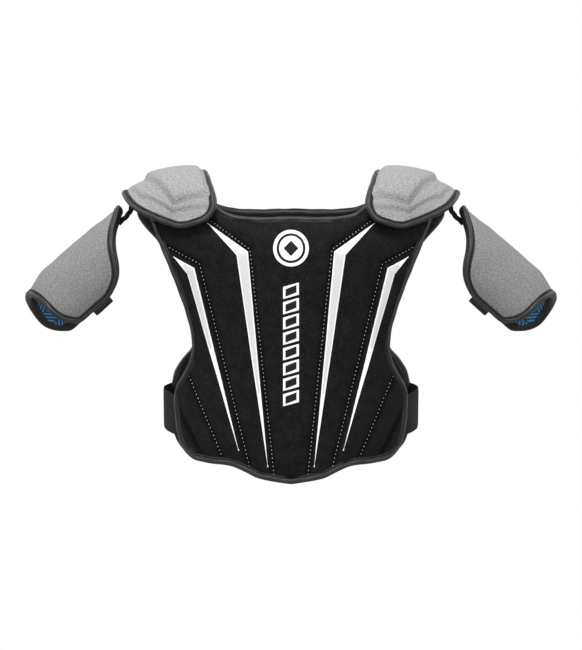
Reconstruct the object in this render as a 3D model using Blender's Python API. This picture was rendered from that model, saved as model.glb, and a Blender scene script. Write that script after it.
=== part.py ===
"""Slip-over shoulder pads: padded front and back panels, shoulder caps and upper-arm guards.

Metres, +Z up. The wearer faces -Y, so the wearer's left is at +X. The origin lies midway
between the shoulders, at the height of the neck corners.
"""
from math import acos, cos, degrees as degrees_of, pi, radians, sin, sqrt

import bmesh
import bpy
from mathutils import Matrix, Vector

# ---- driving dimensions ----
SIDES = {"left": 1, "right": -1}
GAP = 0.0003                # clearance kept between pieces that touch
RIM_GAP = 0.0008            # clearance between a binding and the layers that it holds
LAYER_GAP = 0.0013          # clearance between the layers of a curved panel

# torso surface: an elliptic section that bends over the shoulder ridge
HALF_DEPTH = 0.115
HALF_WIDTH_WAIST = 0.163
HALF_WIDTH_SHOULDER = 0.222
SHOULDER_TOP_Z = -0.02      # above this height the section has its shoulder width
WAIST_TOP_Z = -0.22         # below this height it has its waist width
RIDGE_Z = 0.029
RIDGE_SLOPE = 0.15
RIDGE_FLAT = 0.080          # the ridge slopes down outside this half-width
ARCH_DROP = 0.095           # height over which the panel turns from level to upright

# layer stack of a body panel, outside to inside
COVER = 0.0012
FOAM = 0.0074
LINER = 0.0012
BINDING_WIDTH = 0.0068
BINDING_PROUD = 0.0008      # how far the binding stands over cover and liner
CHANNEL = 0.0014            # half of the sewn channel between two foam segments

# body panel outlines, binding included, for one half
SEAM_ARC = 0.0415           # distance from the ridge to the seam of panel and bridge
NECK_CORNER = (0.098, 0.003)
NECK_RIDGE_X = 0.104
FRONT_NECKLINE = ((0.0, -0.012), (0.041, -0.013), (0.078, -0.009), NECK_CORNER)
BACK_NECKLINE = ((0.0, -0.004), (0.041, -0.005), (0.078, -0.003), NECK_CORNER)
FRONT_EDGE = (
    (0.006, 0.188), (-0.019, 0.179), (-0.051, 0.167), (-0.095, 0.149), (-0.141, 0.133),
    (-0.172, 0.127), (-0.195, 0.1295), (-0.213, 0.138), (-0.230, 0.1475), (-0.250, 0.150),
    (-0.292, 0.145), (-0.311, 0.136), (-0.323, 0.120))
BACK_EDGE = (
    (0.006, 0.190), (-0.008, 0.198), (-0.022, 0.192), (-0.049, 0.170), (-0.095, 0.149),
    (-0.141, 0.133), (-0.172, 0.127), (-0.184, 0.129), (-0.200, 0.143), (-0.219, 0.1525),
    (-0.250, 0.1545), (-0.290, 0.151), (-0.309, 0.142), (-0.320, 0.125))
FRONT_BOTTOM = (
    (0.0, -0.352), (0.040, -0.345), (0.057, -0.337), (0.075, -0.3295), (0.105, -0.326),
    (0.120, -0.323))
BACK_BOTTOM = (
    (0.0, -0.344), (0.040, -0.338), (0.075, -0.327), (0.105, -0.323), (0.125, -0.320))
# sewn channels as (height, half-width): between centre and middle, and middle and side
INNER_CHANNEL = ((0.003, 0.098), (-0.019, 0.094), (-0.054, 0.052), (-0.340, 0.0215))
OUTER_CHANNEL = ((-0.050, 0.146), (-0.080, 0.116), (-0.329, 0.055))
BRIDGE_EDGE_X = 0.190

# how the grid of a panel is divided
CENTRE_COLUMNS = 2
MIDDLE_COLUMNS = 3
SIDE_COLUMNS = 2
PANEL_ROWS = 11
ARM_ROWS = 2
SIDE_FOAM_ROW = 2           # the side foam starts at this row
ROW_SPREAD = 1.15           # above 1, rows are closer together near the neckline

# white stripes on the front cover: top tip, corner and bottom tip, for one half
STRIPES = {
    "inner": ((0.100, -0.0285), (0.064, -0.060), (0.0285, -0.329)),
    "outer": ((0.1455, -0.066), (0.1255, -0.082), (0.065, -0.3085))}
STRIPE_TIP_HALF = 0.0009
STRIPE_CORNER_HALF = 0.0063
STRIPE_LIFT = 0.0009
STRIPE_THICK = 0.0007

# flat comfort pad under each bridge
PAD_CENTRE_X = 0.145
PAD_HALF = (0.026, 0.016, 0.003)
PAD_CENTRE_Z = 0.0005

# side straps
STRAP_HALF_WIDTH = 0.025
STRAP_THICK = 0.002
STRAP_MID_Z = -0.2615       # height of the strap's middle at the wearer's side
STRAP_SLANT = 0.17          # rise towards the back, per metre of girth
STRAP_INSIDE = -0.0172      # depth of the strap behind the front panel
STRAP_OUTSIDE = 0.0034      # its height over the back panel
STRAP_ANCHOR = (-39, -24)   # degrees around the section, 0 at the side
STRAP_FREE = (-21.5, 48)
STRAP_PATCH = (24, 54)
STRAP_RISE = (-20, 19)
PATCH_HALF_WIDTH = 0.029

# shoulder caps: arch angle 0 on top, 90 degrees at the front edge
CAP_TOP = (
    (0.090, 0.040), (0.107, 0.0425), (0.129, 0.0440), (0.149, 0.0425), (0.172, 0.0375),
    (0.190, 0.0302), (0.205, 0.0224), (0.218, 0.0125))
CAP_DEPTH = (
    (0.090, 0.107), (0.115, 0.103), (0.139, 0.095), (0.160, 0.086), (0.180, 0.077),
    (0.200, 0.066), (0.218, 0.056))
CAP_DROP = 0.073
CAP_NECK_EDGE = ((0, 0.106), (35, 0.100), (62, 0.0935), (76, 0.098), (84, 0.109), (90, 0.128))
CAP_OUTER_EDGE = ((0, 0.2175), (28, 0.214), (50, 0.205), (66, 0.190), (80, 0.170), (90, 0.148))
CAP_COLUMNS = 8
CAP_ROWS = 12
CAP_END_CROWD = 0.35        # share of the rows that gather near the front and back edges
CAP_DEPTH_MEAN = 0.085      # used to turn an inset into degrees of the arch
SHELL_LAYERS = ("shell", "plate", "liner", "binding")
SHELL = 0.0080
PLATE = 0.0020
RIM_WIDTH = 0.0068

# upper-arm guards: a tube that is open on the side of the body
ARM_TOP = Vector((0.220, 0.0, -0.002))
ARM_TILT = radians(49)      # from the vertical
ARM_RADIUS = (0.0525, 0.052)
ARM_COVERS = 124            # degrees to each side of the outermost line, binding included
ARM_TOP_EDGE = (            # the top edge as (degrees, distance along the guard)
    (0, -0.004), (16, -0.0025), (30, 0.0040), (46, 0.0165), (60, 0.0275), (75, 0.0365),
    (95, 0.0460), (108, 0.0550), (117, 0.0660), (124, 0.0800))
ARM_LENGTH = 0.1635
ARM_CUFF_SKEW = 0.0105      # the back of the cuff reaches further down than the front
ARM_CORNER = (84, 0.0200)   # cuff corners round off from this angle, by this much
ARM_CURL = (0.125, 0.170, 0.009)   # the outermost line bends inwards from, until, by how much
ARM_COLUMNS = 14
ARM_ROWS_DOWN = 7

# elastic across the open side of a guard: (inwards, back) from the guard's outermost line
ARM_STRAP_ROUTE = (
    (0.0693, -0.0314), (0.0722, -0.0180), (0.0760, 0.0000), (0.0800, 0.0190),
    (0.0838, 0.0360), (0.0864, 0.0440), (0.0858, 0.0481), (0.0822, 0.0506),
    (0.0737, 0.0529), (0.0603, 0.0553))
ARM_STRAP_S = (0.084, 0.112)

# webbing tab that carries each guard: its route in X and Z, for one half
TAB_ROUTE = ((0.2020, 0.0040), (0.2025, -0.0030), (0.2050, -0.0095), (0.2105, -0.0160),
             (0.2190, -0.0235))
TAB_HALF_WIDTH = 0.011
TAB_THICK = 0.0018

# joint positions
FOLD_PIVOT = Vector((0.0, -0.026, -0.014))
CAP_PIVOT = Vector((0.100, 0.0, 0.028))
TAB_PIVOT = Vector((0.202, 0.0, 0.0040))
ARM_PIVOT = Vector((0.2155, 0.0, -0.0204))

COLOURS = {
    "cover_black": ((0.012, 0.012, 0.013), 0.85),
    "foam_grey": ((0.10, 0.10, 0.105), 0.95),
    "liner_blue": ((0.03, 0.24, 0.60), 0.8),
    "binding_charcoal": ((0.035, 0.036, 0.038), 0.45),
    "stripe_white": ((0.80, 0.80, 0.80), 0.55),
    "heather_grey": ((0.38, 0.38, 0.38), 0.8),
    "plate_plastic": ((0.05, 0.05, 0.05), 0.4),
    "elastic_black": ((0.015, 0.015, 0.016), 0.7)}


# ---- curves and surfaces ----
def curve_at(points, t):
    """Value at t of a smooth curve through (t, value) points, in either direction."""
    points = sorted(points)
    if t <= points[0][0]:
        return points[0][1]
    if t >= points[-1][0]:
        return points[-1][1]
    k = 0
    while t > points[k + 1][0]:
        k += 1
    (t0, v0), (t1, v1) = points[k], points[k + 1]

    def slope(index):
        before = points[max(index - 1, 0)]
        after = points[min(index + 1, len(points) - 1)]
        return (after[1] - before[1]) / (after[0] - before[0])

    span = t1 - t0
    u = (t - t0) / span
    keep = (2 * u ** 3 - 3 * u ** 2 + 1) * v0 + (3 * u ** 2 - 2 * u ** 3) * v1
    turn = (u ** 3 - 2 * u ** 2 + u) * slope(k) + (u ** 3 - u ** 2) * slope(k + 1)
    return keep + turn * span


def smoothstep(start, end, t):
    u = min(max((t - start) / (end - start), 0.0), 1.0)
    return u * u * (3 - 2 * u)


def ridge_z(x):
    return RIDGE_Z - RIDGE_SLOPE * max(abs(x) - RIDGE_FLAT, 0.0)


def half_width(z):
    rise = smoothstep(WAIST_TOP_Z, SHOULDER_TOP_Z, z)
    return HALF_WIDTH_WAIST + (HALF_WIDTH_SHOULDER - HALF_WIDTH_WAIST) * rise


def arc_at(x, z):
    """Distance along the panel from the ridge down to height z."""
    drop = ridge_z(x) - z
    if drop <= 0:
        return 0.0
    if drop < ARCH_DROP:
        return ARCH_DROP * acos(1 - drop / ARCH_DROP)
    return ARCH_DROP * pi / 2 + drop - ARCH_DROP


def height_at(x, arc):
    arc = abs(arc)
    if arc < ARCH_DROP * pi / 2:
        return ridge_z(x) - ARCH_DROP * (1 - cos(arc / ARCH_DROP))
    return ridge_z(x) - ARCH_DROP - (arc - ARCH_DROP * pi / 2)


def torso_surface(x, arc):
    """Point on the covers' outer face; arc is positive in front of the ridge."""
    z = height_at(x, arc)
    turn = min(abs(arc) / ARCH_DROP, pi / 2)
    section = sqrt(max(1 - (x / half_width(z)) ** 2, 0.01))
    y = HALF_DEPTH * section * sin(turn)
    return Vector((x, -y if arc > 0 else y, z))


def cap_surface(x, degrees):
    angle = radians(degrees)
    z = curve_at(CAP_TOP, x) - CAP_DROP * (1 - cos(angle))
    return Vector((x, -curve_at(CAP_DEPTH, x) * sin(angle), z))


def arm_axis():
    return Vector((sin(ARM_TILT), 0.0, -cos(ARM_TILT)))


def arm_inward():
    return Vector((-cos(ARM_TILT), 0.0, -sin(ARM_TILT)))


def arm_surface(degrees, along):
    angle = radians(degrees)
    centre = ARM_TOP + arm_axis() * along + arm_inward() * ARM_RADIUS[0]
    start, end, depth = ARM_CURL
    curl = depth * smoothstep(start, end, along) * max(cos(angle), 0.0) ** 2
    across = arm_inward() * (curl - ARM_RADIUS[0] * cos(angle))
    return centre + across + Vector((0, ARM_RADIUS[1] * sin(angle), 0))


def strap_surface(degrees, z):
    angle = radians(degrees)
    return Vector((HALF_WIDTH_WAIST * cos(angle), HALF_DEPTH * sin(angle), z))


def offset_surface(surface, step_a, step_b, side=1):
    """Return place(a, b, height), a point at a height over the surface, mirrored for side -1."""
    def place(a, b, height):
        across = surface(a + step_a, b) - surface(a - step_a, b)
        down = surface(a, b + step_b) - surface(a, b - step_b)
        point = surface(a, b) + down.cross(across).normalized() * height
        return Vector((point.x * side, point.y, point.z))
    return place


# ---- grids ----
def boundary_loop(cells):
    """The cells' outer edge as an ordered list of keys."""
    edges = {}
    for cell in cells:
        for k in range(4):
            edges[(cell[k], cell[(k + 1) % 4])] = True
    following = {a: b for a, b in edges if (b, a) not in edges}
    start = min(following)
    loop = [start]
    while following[loop[-1]] != start:
        loop.append(following[loop[-1]])
    return loop


def inset_grid(points, cells, distance):
    """Move the grid's edge inwards; distance(key_a, key_b) gives each edge's own inset."""
    loop = boundary_loop(cells)
    count = len(loop)
    flat = [Vector(points[key]) for key in loop]
    area = sum(flat[k].x * flat[k - 1].y - flat[k - 1].x * flat[k].y for k in range(count))
    turn = 1 if area > 0 else -1
    moved = dict(points)

    def inward(k):
        edge = (flat[(k + 1) % count] - flat[k]).normalized()
        return Vector((edge.y, -edge.x)) * turn

    for k in range(count):
        before, after = inward(k - 1), inward(k)
        d_before = distance(loop[k - 1], loop[k])
        d_after = distance(loop[k], loop[(k + 1) % count])
        det = before.x * after.y - before.y * after.x
        if abs(det) > 0.25:
            shift = Vector((d_before * after.y - d_after * before.y,
                            d_after * before.x - d_before * after.x)) / det
        else:
            mean = (before + after).normalized()
            shift = mean * (d_before + d_after) / 2
        moved[loop[k]] = tuple(flat[k] + shift)
    return moved


def rect_cells(i_range, j_range):
    return [((i, j), (i, j + 1), (i + 1, j + 1), (i + 1, j)) for i in i_range for j in j_range]


def panel_grid(neckline, edge, bottom, front):
    """Grid points (x, arc) of a body panel, by row and signed column."""
    sign = 1 if front else -1
    half = CENTRE_COLUMNS + MIDDLE_COLUMNS + SIDE_COLUMNS
    neck_arc = arc_at(*NECK_CORNER)

    def column_x(column, z, arc):
        edge_x = curve_at(edge, z)
        if arc < neck_arc + 0.0001:
            inner = NECK_CORNER[0] + (NECK_RIDGE_X - NECK_CORNER[0]) * (1 - arc / neck_arc)
            outer = edge_x - 0.016
        else:
            inner = curve_at(INNER_CHANNEL, z)
            outer = min(curve_at(OUTER_CHANNEL, z), edge_x - 0.016)
        if column <= CENTRE_COLUMNS:
            return inner * column / CENTRE_COLUMNS
        if column <= CENTRE_COLUMNS + MIDDLE_COLUMNS:
            return inner + (outer - inner) * (column - CENTRE_COLUMNS) / MIDDLE_COLUMNS
        return outer + (edge_x - outer) * (column - half + SIDE_COLUMNS) / SIDE_COLUMNS

    points = {}
    for column in range(half + 1):
        for row in range(-ARM_ROWS if column >= CENTRE_COLUMNS else 0, PANEL_ROWS + 1):
            x, z, arc = 0.1, -0.1, neck_arc
            for _ in range(30):
                if row < 0:
                    arc = neck_arc + (neck_arc - SEAM_ARC) * row / ARM_ROWS
                    z = height_at(x, arc)
                else:
                    top = neck_arc if column >= CENTRE_COLUMNS else arc_at(x, curve_at(neckline, x))
                    low = arc_at(x, curve_at(bottom, x))
                    arc = top + (low - top) * (row / PANEL_ROWS) ** ROW_SPREAD
                    z = height_at(x, arc)
                x += 0.6 * (column_x(column, z, arc) - x)
            points[(row, column)] = (x, sign * arc)
            points[(row, -column)] = (-x, sign * arc)
    cells = rect_cells(range(PANEL_ROWS), range(-half, half))
    arm_columns = list(range(-half, -CENTRE_COLUMNS)) + list(range(CENTRE_COLUMNS, half))
    cells += rect_cells(range(-ARM_ROWS, 0), arm_columns)
    return points, cells


def is_seam(key_a, key_b):
    return key_a[0] == -ARM_ROWS and key_b[0] == -ARM_ROWS


def panel_inset(width):
    return lambda a, b: GAP if is_seam(a, b) else width


# ---- solids ----
def finish_mesh(name, bm, pivot, parent, slot):
    bmesh.ops.recalc_face_normals(bm, faces=bm.faces)
    mesh = bpy.data.meshes.new(name)
    bm.to_mesh(mesh)
    bm.free()
    mesh.transform(Matrix.Translation(-pivot))
    mesh.shade_smooth()
    mesh.set_sharp_from_angle(angle=radians(40))
    mesh.materials.append(MATERIALS[slot])
    piece = bpy.data.objects.new(name, mesh)
    piece.parent = parent
    bpy.context.scene.collection.objects.link(piece)
    return piece


def slab(name, body, slot, points, cells, place, outer, inner):
    """A closed layer over grid cells, from height outer down to height inner."""
    bm = bmesh.new()
    keys = sorted({key for cell in cells for key in cell})
    top = {key: bm.verts.new(place(*points[key], outer)) for key in keys}
    low = {key: bm.verts.new(place(*points[key], inner)) for key in keys}
    for a, b, c, d in cells:
        for three in ((a, b, c), (a, c, d)):
            bm.faces.new([top[key] for key in three])
            bm.faces.new([low[key] for key in reversed(three)])
    loop = boundary_loop(cells)
    for k, key in enumerate(loop):
        after = loop[(k + 1) % len(loop)]
        bm.faces.new((top[key], low[key], low[after], top[after]))
    return finish_mesh(name, bm, PIVOTS[body], EMPTIES[body], slot)


def rim(name, body, slot, outline, inner_points, run, closed, place, outer, inner):
    """Folded binding along a run of edge keys, between the outline and an inset of it."""
    points = {}
    for k, key in enumerate(run):
        points[(0, k)] = outline[key]
        points[(1, k)] = inner_points[key]
    count = len(run)
    steps = count if closed else count - 1
    cells = [((0, k), (0, (k + 1) % count), (1, (k + 1) % count), (1, k)) for k in range(steps)]
    if not closed:
        return slab(name, body, slot, points, cells, place, outer, inner)
    bm = bmesh.new()
    top = {key: bm.verts.new(place(*value, outer)) for key, value in points.items()}
    low = {key: bm.verts.new(place(*value, inner)) for key, value in points.items()}
    for a, b, c, d in cells:
        for ring in ((top[a], top[b], top[c], top[d]), (low[d], low[c], low[b], low[a]),
                     (top[a], low[a], low[b], top[b]), (top[d], top[c], low[c], low[d])):
            bm.faces.new(ring)
    return finish_mesh(name, bm, PIVOTS[body], EMPTIES[body], slot)


def foam_segments(cells):
    """Split a panel's cells into centre, middle and side segments by row and column."""
    split = CENTRE_COLUMNS + MIDDLE_COLUMNS
    segments = {"center": []}
    for side in SIDES:
        segments["middle_" + side] = []
        segments["side_" + side] = []
    for cell in cells:
        row, column = cell[0]
        side = "left" if column >= 0 else "right"
        column = column if column >= 0 else -column - 1
        if column < CENTRE_COLUMNS:
            segments["center"].append(cell)
        elif column < split or row < SIDE_FOAM_ROW:
            segments["middle_" + side].append(cell)
        else:
            segments["side_" + side].append(cell)
    return segments


def build_panel(name, body, neckline, edge, bottom, front):
    outline, cells = panel_grid(neckline, edge, bottom, front)
    place = offset_surface(torso_surface, 0.0005, 0.0005)
    inside = inset_grid(outline, cells, panel_inset(BINDING_WIDTH))
    foam_top = -COVER - LAYER_GAP
    foam_low = foam_top - FOAM
    liner_top = foam_low - LAYER_GAP
    rim_low = liner_top - LINER - BINDING_PROUD
    slab(name + "_cover", body, "cover_black", inside, cells, place, 0.0, -COVER)
    slab(name + "_liner", body, "liner_blue", inside, cells, place,
         liner_top, liner_top - LINER)
    for segment, own_cells in foam_segments(cells).items():
        shrunk = inset_grid(inside, own_cells, panel_inset(CHANNEL))
        slab(name + "_foam_" + segment, body, "foam_grey", shrunk, own_cells, place,
             foam_top, foam_low)
    trim = inset_grid(outline, cells, panel_inset(BINDING_WIDTH - RIM_GAP))
    full = inset_grid(outline, cells, panel_inset(0.0))
    loop = boundary_loop(cells)
    seams = [k for k in range(len(loop)) if is_seam(loop[k], loop[(k + 1) % len(loop)])]
    starts = [k for k in seams if (k + 1) % len(loop) not in seams]
    for start in starts:
        run = []
        k = (start + 1) % len(loop)
        while not run or k not in seams:
            run.append(loop[k])
            k = (k + 1) % len(loop)
        run.append(loop[k])
        kind = "_neck_binding" if (0, 0) in run else "_edge_binding"
        rim(name + kind, body, "binding_charcoal", full, trim, run, False, place,
            BINDING_PROUD, rim_low)


def build_bridge(side_name, sign):
    """Shoulder strap between the two panels, under the cap."""
    rows, columns = 6, 4
    outline = {}
    for i in range(rows + 1):
        arc = SEAM_ARC * (2 * i / rows - 1)
        neck_arc = arc_at(*NECK_CORNER)
        inner = NECK_CORNER[0] + (NECK_RIDGE_X - NECK_CORNER[0]) * (1 - abs(arc) / neck_arc)
        for j in range(columns + 1):
            outline[(i, j)] = (inner + (BRIDGE_EDGE_X - inner) * j / columns, arc)
    cells = rect_cells(range(rows), range(columns))

    def width(a, b, binding):
        if a[1] == 0 and b[1] == 0:
            return binding
        return 0.0 if a[1] == columns and b[1] == columns else GAP

    place = offset_surface(torso_surface, 0.0005, 0.0005, sign)
    inside = inset_grid(outline, cells, lambda a, b: width(a, b, BINDING_WIDTH))
    trim = inset_grid(outline, cells, lambda a, b: width(a, b, BINDING_WIDTH - RIM_GAP))
    full = inset_grid(outline, cells, lambda a, b: width(a, b, 0.0))
    foam_top = -COVER - LAYER_GAP
    foam_low = foam_top - FOAM
    liner_top = foam_low - LAYER_GAP
    rim_low = liner_top - LINER - BINDING_PROUD
    suffix = "_" + side_name
    slab("bridge_cover" + suffix, "back", "cover_black", inside, cells, place, 0.0, -COVER)
    slab("bridge_foam" + suffix, "back", "foam_grey", inside, cells, place, foam_top, foam_low)
    slab("bridge_liner" + suffix, "back", "liner_blue", inside, cells, place,
         liner_top, liner_top - LINER)
    run = [(i, 0) for i in range(rows + 1)]
    rim("bridge_binding" + suffix, "back", "binding_charcoal", full, trim, run, False, place,
        BINDING_PROUD, rim_low)
    bm = bmesh.new()
    bmesh.ops.create_cube(bm, size=2.0)
    tilt = Matrix.Rotation(RIDGE_SLOPE * sign, 4, "Y")
    seat = Matrix.Translation((PAD_CENTRE_X * sign, 0, PAD_CENTRE_Z))
    bmesh.ops.transform(bm, matrix=seat @ tilt @ Matrix.Diagonal((*PAD_HALF, 1)), verts=bm.verts)
    finish_mesh("shoulder_pad" + suffix, bm, PIVOTS["back"], EMPTIES["back"], "foam_grey")


def build_shell(kind, side_name, grid, place):
    """A moulded shell with its plate, liner and binding, as for a cap or an arm guard.

    grid(inset) gives the same grid, drawn in from its edge. The plate is one cell smaller
    all round.
    """
    body = kind + "_" + side_name
    names = {layer: kind + "_" + layer + "_" + side_name for layer in SHELL_LAYERS}
    inside, cells = grid(RIM_WIDTH)
    rim_keys = set(boundary_loop(cells))
    sealed = [cell for cell in cells if not rim_keys & set(cell)]
    plate_top = -SHELL - GAP
    liner_top = plate_top - PLATE - GAP
    slab(names["shell"], body, "heather_grey", inside, cells, place, 0.0, -SHELL)
    slab(names["plate"], body, "plate_plastic", inside, sealed, place, plate_top,
         plate_top - PLATE)
    slab(names["liner"], body, "liner_blue", inside, cells, place, liner_top, liner_top - LINER)
    rim(names["binding"], body, "binding_charcoal", grid(0.0)[0], grid(RIM_WIDTH - RIM_GAP)[0],
        boundary_loop(cells), True, place, BINDING_PROUD, liner_top - LINER - BINDING_PROUD)


def cap_grid(inset):
    """Grid of (degrees, x) over a cap, drawn in from its edge."""
    reach = 90 - degrees_of(inset / (CAP_DROP + CAP_DEPTH_MEAN) * 2)
    points = {}
    for i in range(CAP_ROWS + 1):
        turn = 2 * i / CAP_ROWS - 1
        spread = CAP_END_CROWD * sin(turn * pi / 2) + (1 - CAP_END_CROWD) * turn
        neck = curve_at(CAP_NECK_EDGE, abs(90 * spread)) + inset
        outer = curve_at(CAP_OUTER_EDGE, abs(90 * spread)) - inset
        for j in range(CAP_COLUMNS + 1):
            points[(i, j)] = (reach * spread, neck + (outer - neck) * j / CAP_COLUMNS)
    return points, rect_cells(range(CAP_ROWS), range(CAP_COLUMNS))


def build_cap(side_name, sign):
    cap = offset_surface(cap_surface, 0.0005, 0.3, sign)
    build_shell("cap", side_name, cap_grid, lambda degrees, x, height: cap(x, degrees, height))


def arm_grid(inset):
    """Grid of (degrees, distance from the top) over an arm guard, drawn in from its edge."""
    reach = ARM_COVERS - degrees_of(inset / ARM_RADIUS[0])
    start, corner = ARM_CORNER
    points = {}
    for i in range(ARM_COLUMNS + 1):
        turn = 2 * i / ARM_COLUMNS - 1
        degrees = abs(ARM_COVERS * turn)
        off = max(degrees - start, 0) / (ARM_COVERS - start)
        top = curve_at(ARM_TOP_EDGE, degrees) + inset
        cuff = ARM_LENGTH + ARM_CUFF_SKEW * sin(radians(ARM_COVERS * turn)) - corner * off ** 2
        for j in range(ARM_ROWS_DOWN + 1):
            points[(i, j)] = (reach * turn, top + (cuff - inset - top) * j / ARM_ROWS_DOWN)
    return points, rect_cells(range(ARM_COLUMNS), range(ARM_ROWS_DOWN))


def build_arm(side_name, sign):
    build_shell("arm", side_name, arm_grid, offset_surface(arm_surface, 0.3, 0.0005, sign))


def build_strip(name, body, slot, stations, place, outer, inner, columns=2):
    """A strip through stations ((a, b) on one edge, (a, b) on the other)."""
    points = {}
    for i, (one, other) in enumerate(stations):
        for j in range(columns + 1):
            u = j / columns
            points[(i, j)] = tuple(p + (q - p) * u for p, q in zip(one, other))
    cells = rect_cells(range(len(stations) - 1), range(columns))
    slab(name, body, slot, points, cells, place, outer, inner)


def stripe_stations(tip, corner, end):
    """Edge points of a bent stripe that is widest at its corner."""
    def route(u):
        if u < 0.25:
            return Vector(tip).lerp(Vector(corner), u / 0.25)
        return Vector(corner).lerp(Vector(end), (u - 0.25) / 0.75)

    stations = []
    for k in range(21):
        u = k / 20
        centre = route(u)
        along = (route(min(u + 0.05, 1)) - route(max(u - 0.05, 0))).normalized()
        wide = u / 0.25 if u < 0.25 else (1 - u) / 0.75
        half = STRIPE_TIP_HALF + (STRIPE_CORNER_HALF - STRIPE_TIP_HALF) * wide
        normal = Vector((-along.y, along.x)) * half
        pair = []
        for point in (centre - normal, centre + normal):
            pair.append((point.x, arc_at(point.x, point.y)))
        stations.append(pair)
    return stations


def strap_height(degrees):
    girth = radians(degrees) * (HALF_WIDTH_WAIST + HALF_DEPTH) / 2
    return STRAP_MID_Z + STRAP_SLANT * girth


def strap_stations(degrees_range, half, count):
    first, last = degrees_range
    stations = []
    for k in range(count + 1):
        degrees = first + (last - first) * k / count
        z = strap_height(degrees)
        stations.append(((degrees, z - half), (degrees, z + half)))
    return stations


def strap_place(sign):
    surface = offset_surface(strap_surface, 0.3, 0.0005, sign)

    def place(degrees, z, height):
        rise = smoothstep(*STRAP_RISE, degrees)
        base = STRAP_INSIDE + (STRAP_OUTSIDE - STRAP_INSIDE) * rise
        return surface(degrees, z, -(base + height))
    return place


def build_side_strap(side_name, sign):
    place = strap_place(sign)
    half = STRAP_THICK / 2
    build_strip("side_strap_" + side_name, "side_strap_" + side_name, "elastic_black",
                strap_stations(STRAP_FREE, STRAP_HALF_WIDTH, 16), place, half, -half, 1)
    build_strip("strap_anchor_" + side_name, "front", "elastic_black",
                strap_stations(STRAP_ANCHOR, STRAP_HALF_WIDTH, 4), place, half, -half, 1)
    surface = offset_surface(strap_surface, 0.3, 0.0005, sign)
    build_strip("loop_patch_" + side_name, "back", "cover_black",
                strap_stations(STRAP_PATCH, PATCH_HALF_WIDTH, 8),
                lambda degrees, z, height: surface(degrees, z, -height),
                STRIPE_LIFT + 0.0008, STRIPE_LIFT, 1)


def route_marks(route):
    """Distances along a route of (a, b) points, from its start."""
    marks = [0.0]
    for (a0, b0), (a1, b1) in zip(route, route[1:]):
        marks.append(marks[-1] + sqrt((a1 - a0) ** 2 + (b1 - b0) ** 2))
    return marks


def route_at(route, marks, t):
    a = curve_at([(m, point[0]) for m, point in zip(marks, route)], t)
    b = curve_at([(m, point[1]) for m, point in zip(marks, route)], t)
    return a, b


def arm_strap_place(sign):
    marks = route_marks(ARM_STRAP_ROUTE)

    def sheet(t, along):
        inwards, back = route_at(ARM_STRAP_ROUTE, marks, t)
        return ARM_TOP + arm_axis() * along + arm_inward() * inwards + Vector((0, back, 0))
    return offset_surface(sheet, 0.0004, 0.0005, sign)


def build_arm_strap(side_name, sign):
    length = route_marks(ARM_STRAP_ROUTE)[-1]
    stations = []
    for k in range(25):
        t = length * k / 24
        stations.append(((t, ARM_STRAP_S[0]), (t, ARM_STRAP_S[1])))
    half = STRAP_THICK / 2
    build_strip("arm_strap_" + side_name, "arm_strap_" + side_name, "elastic_black", stations,
                arm_strap_place(sign), half, -half, 1)


def build_tab(side_name, sign):
    count = 10
    marks = route_marks(TAB_ROUTE)

    def sheet(t, across):
        x, z = route_at(TAB_ROUTE, marks, t)
        return Vector((x, across, z))

    place = offset_surface(sheet, 0.0004, 0.0005, sign)
    stations = []
    for k in range(count + 1):
        t = marks[-1] * k / count
        stations.append(((t, -TAB_HALF_WIDTH), (t, TAB_HALF_WIDTH)))
    build_strip("arm_tab_" + side_name, "arm_tab_" + side_name, "elastic_black", stations, place,
                TAB_THICK / 2, -TAB_THICK / 2, 1)


# ---- bodies ----
def mirrored_point(point, sign):
    return Vector((point.x * sign, point.y, point.z))


def body_pivots():
    """Every body's parent and the point that its joint axis runs through."""
    pivots = {"back": (None, Vector()), "front": ("back", FOLD_PIVOT)}
    for side_name, sign in SIDES.items():
        strap = strap_place(sign)(STRAP_FREE[0], strap_height(STRAP_FREE[0]), 0.0)
        arm_strap = arm_strap_place(sign)(0.0, sum(ARM_STRAP_S) / 2, 0.0)
        pivots["cap_" + side_name] = ("back", mirrored_point(CAP_PIVOT, sign))
        pivots["arm_tab_" + side_name] = ("cap_" + side_name, mirrored_point(TAB_PIVOT, sign))
        pivots["arm_" + side_name] = ("arm_tab_" + side_name, mirrored_point(ARM_PIVOT, sign))
        pivots["side_strap_" + side_name] = ("front", strap)
        pivots["arm_strap_" + side_name] = ("arm_" + side_name, arm_strap)
    return pivots


def make_empties(bodies):
    empties = {}
    for body, (parent, pivot) in bodies.items():
        empty = bpy.data.objects.new("pivot_" + body, None)
        empty.empty_display_size = 0.02
        empty.location = pivot - (bodies[parent][1] if parent else Vector())
        empty.parent = empties.get(parent)
        bpy.context.scene.collection.objects.link(empty)
        empties[body] = empty
    return empties


def make_material(name, colour, roughness):
    material = bpy.data.materials.new(name)
    material.use_nodes = True
    shader = material.node_tree.nodes["Principled BSDF"]
    shader.inputs["Base Color"].default_value = (*colour, 1)
    shader.inputs["Roughness"].default_value = roughness
    shader.inputs["Metallic"].default_value = 0.0
    return material


def build_all():
    build_panel("front", "front", FRONT_NECKLINE, FRONT_EDGE, FRONT_BOTTOM, True)
    build_panel("back", "back", BACK_NECKLINE, BACK_EDGE, BACK_BOTTOM, False)
    for side_name, sign in SIDES.items():
        build_bridge(side_name, sign)
        build_cap(side_name, sign)
        build_arm(side_name, sign)
        build_tab(side_name, sign)
        build_side_strap(side_name, sign)
        build_arm_strap(side_name, sign)
        mirror = offset_surface(torso_surface, 0.0005, 0.0005, sign)
        for kind, (tip, corner, end) in STRIPES.items():
            build_strip(kind + "_stripe_" + side_name, "front", "stripe_white",
                        stripe_stations(tip, corner, end), mirror,
                        STRIPE_LIFT + STRIPE_THICK, STRIPE_LIFT, 1)


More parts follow.
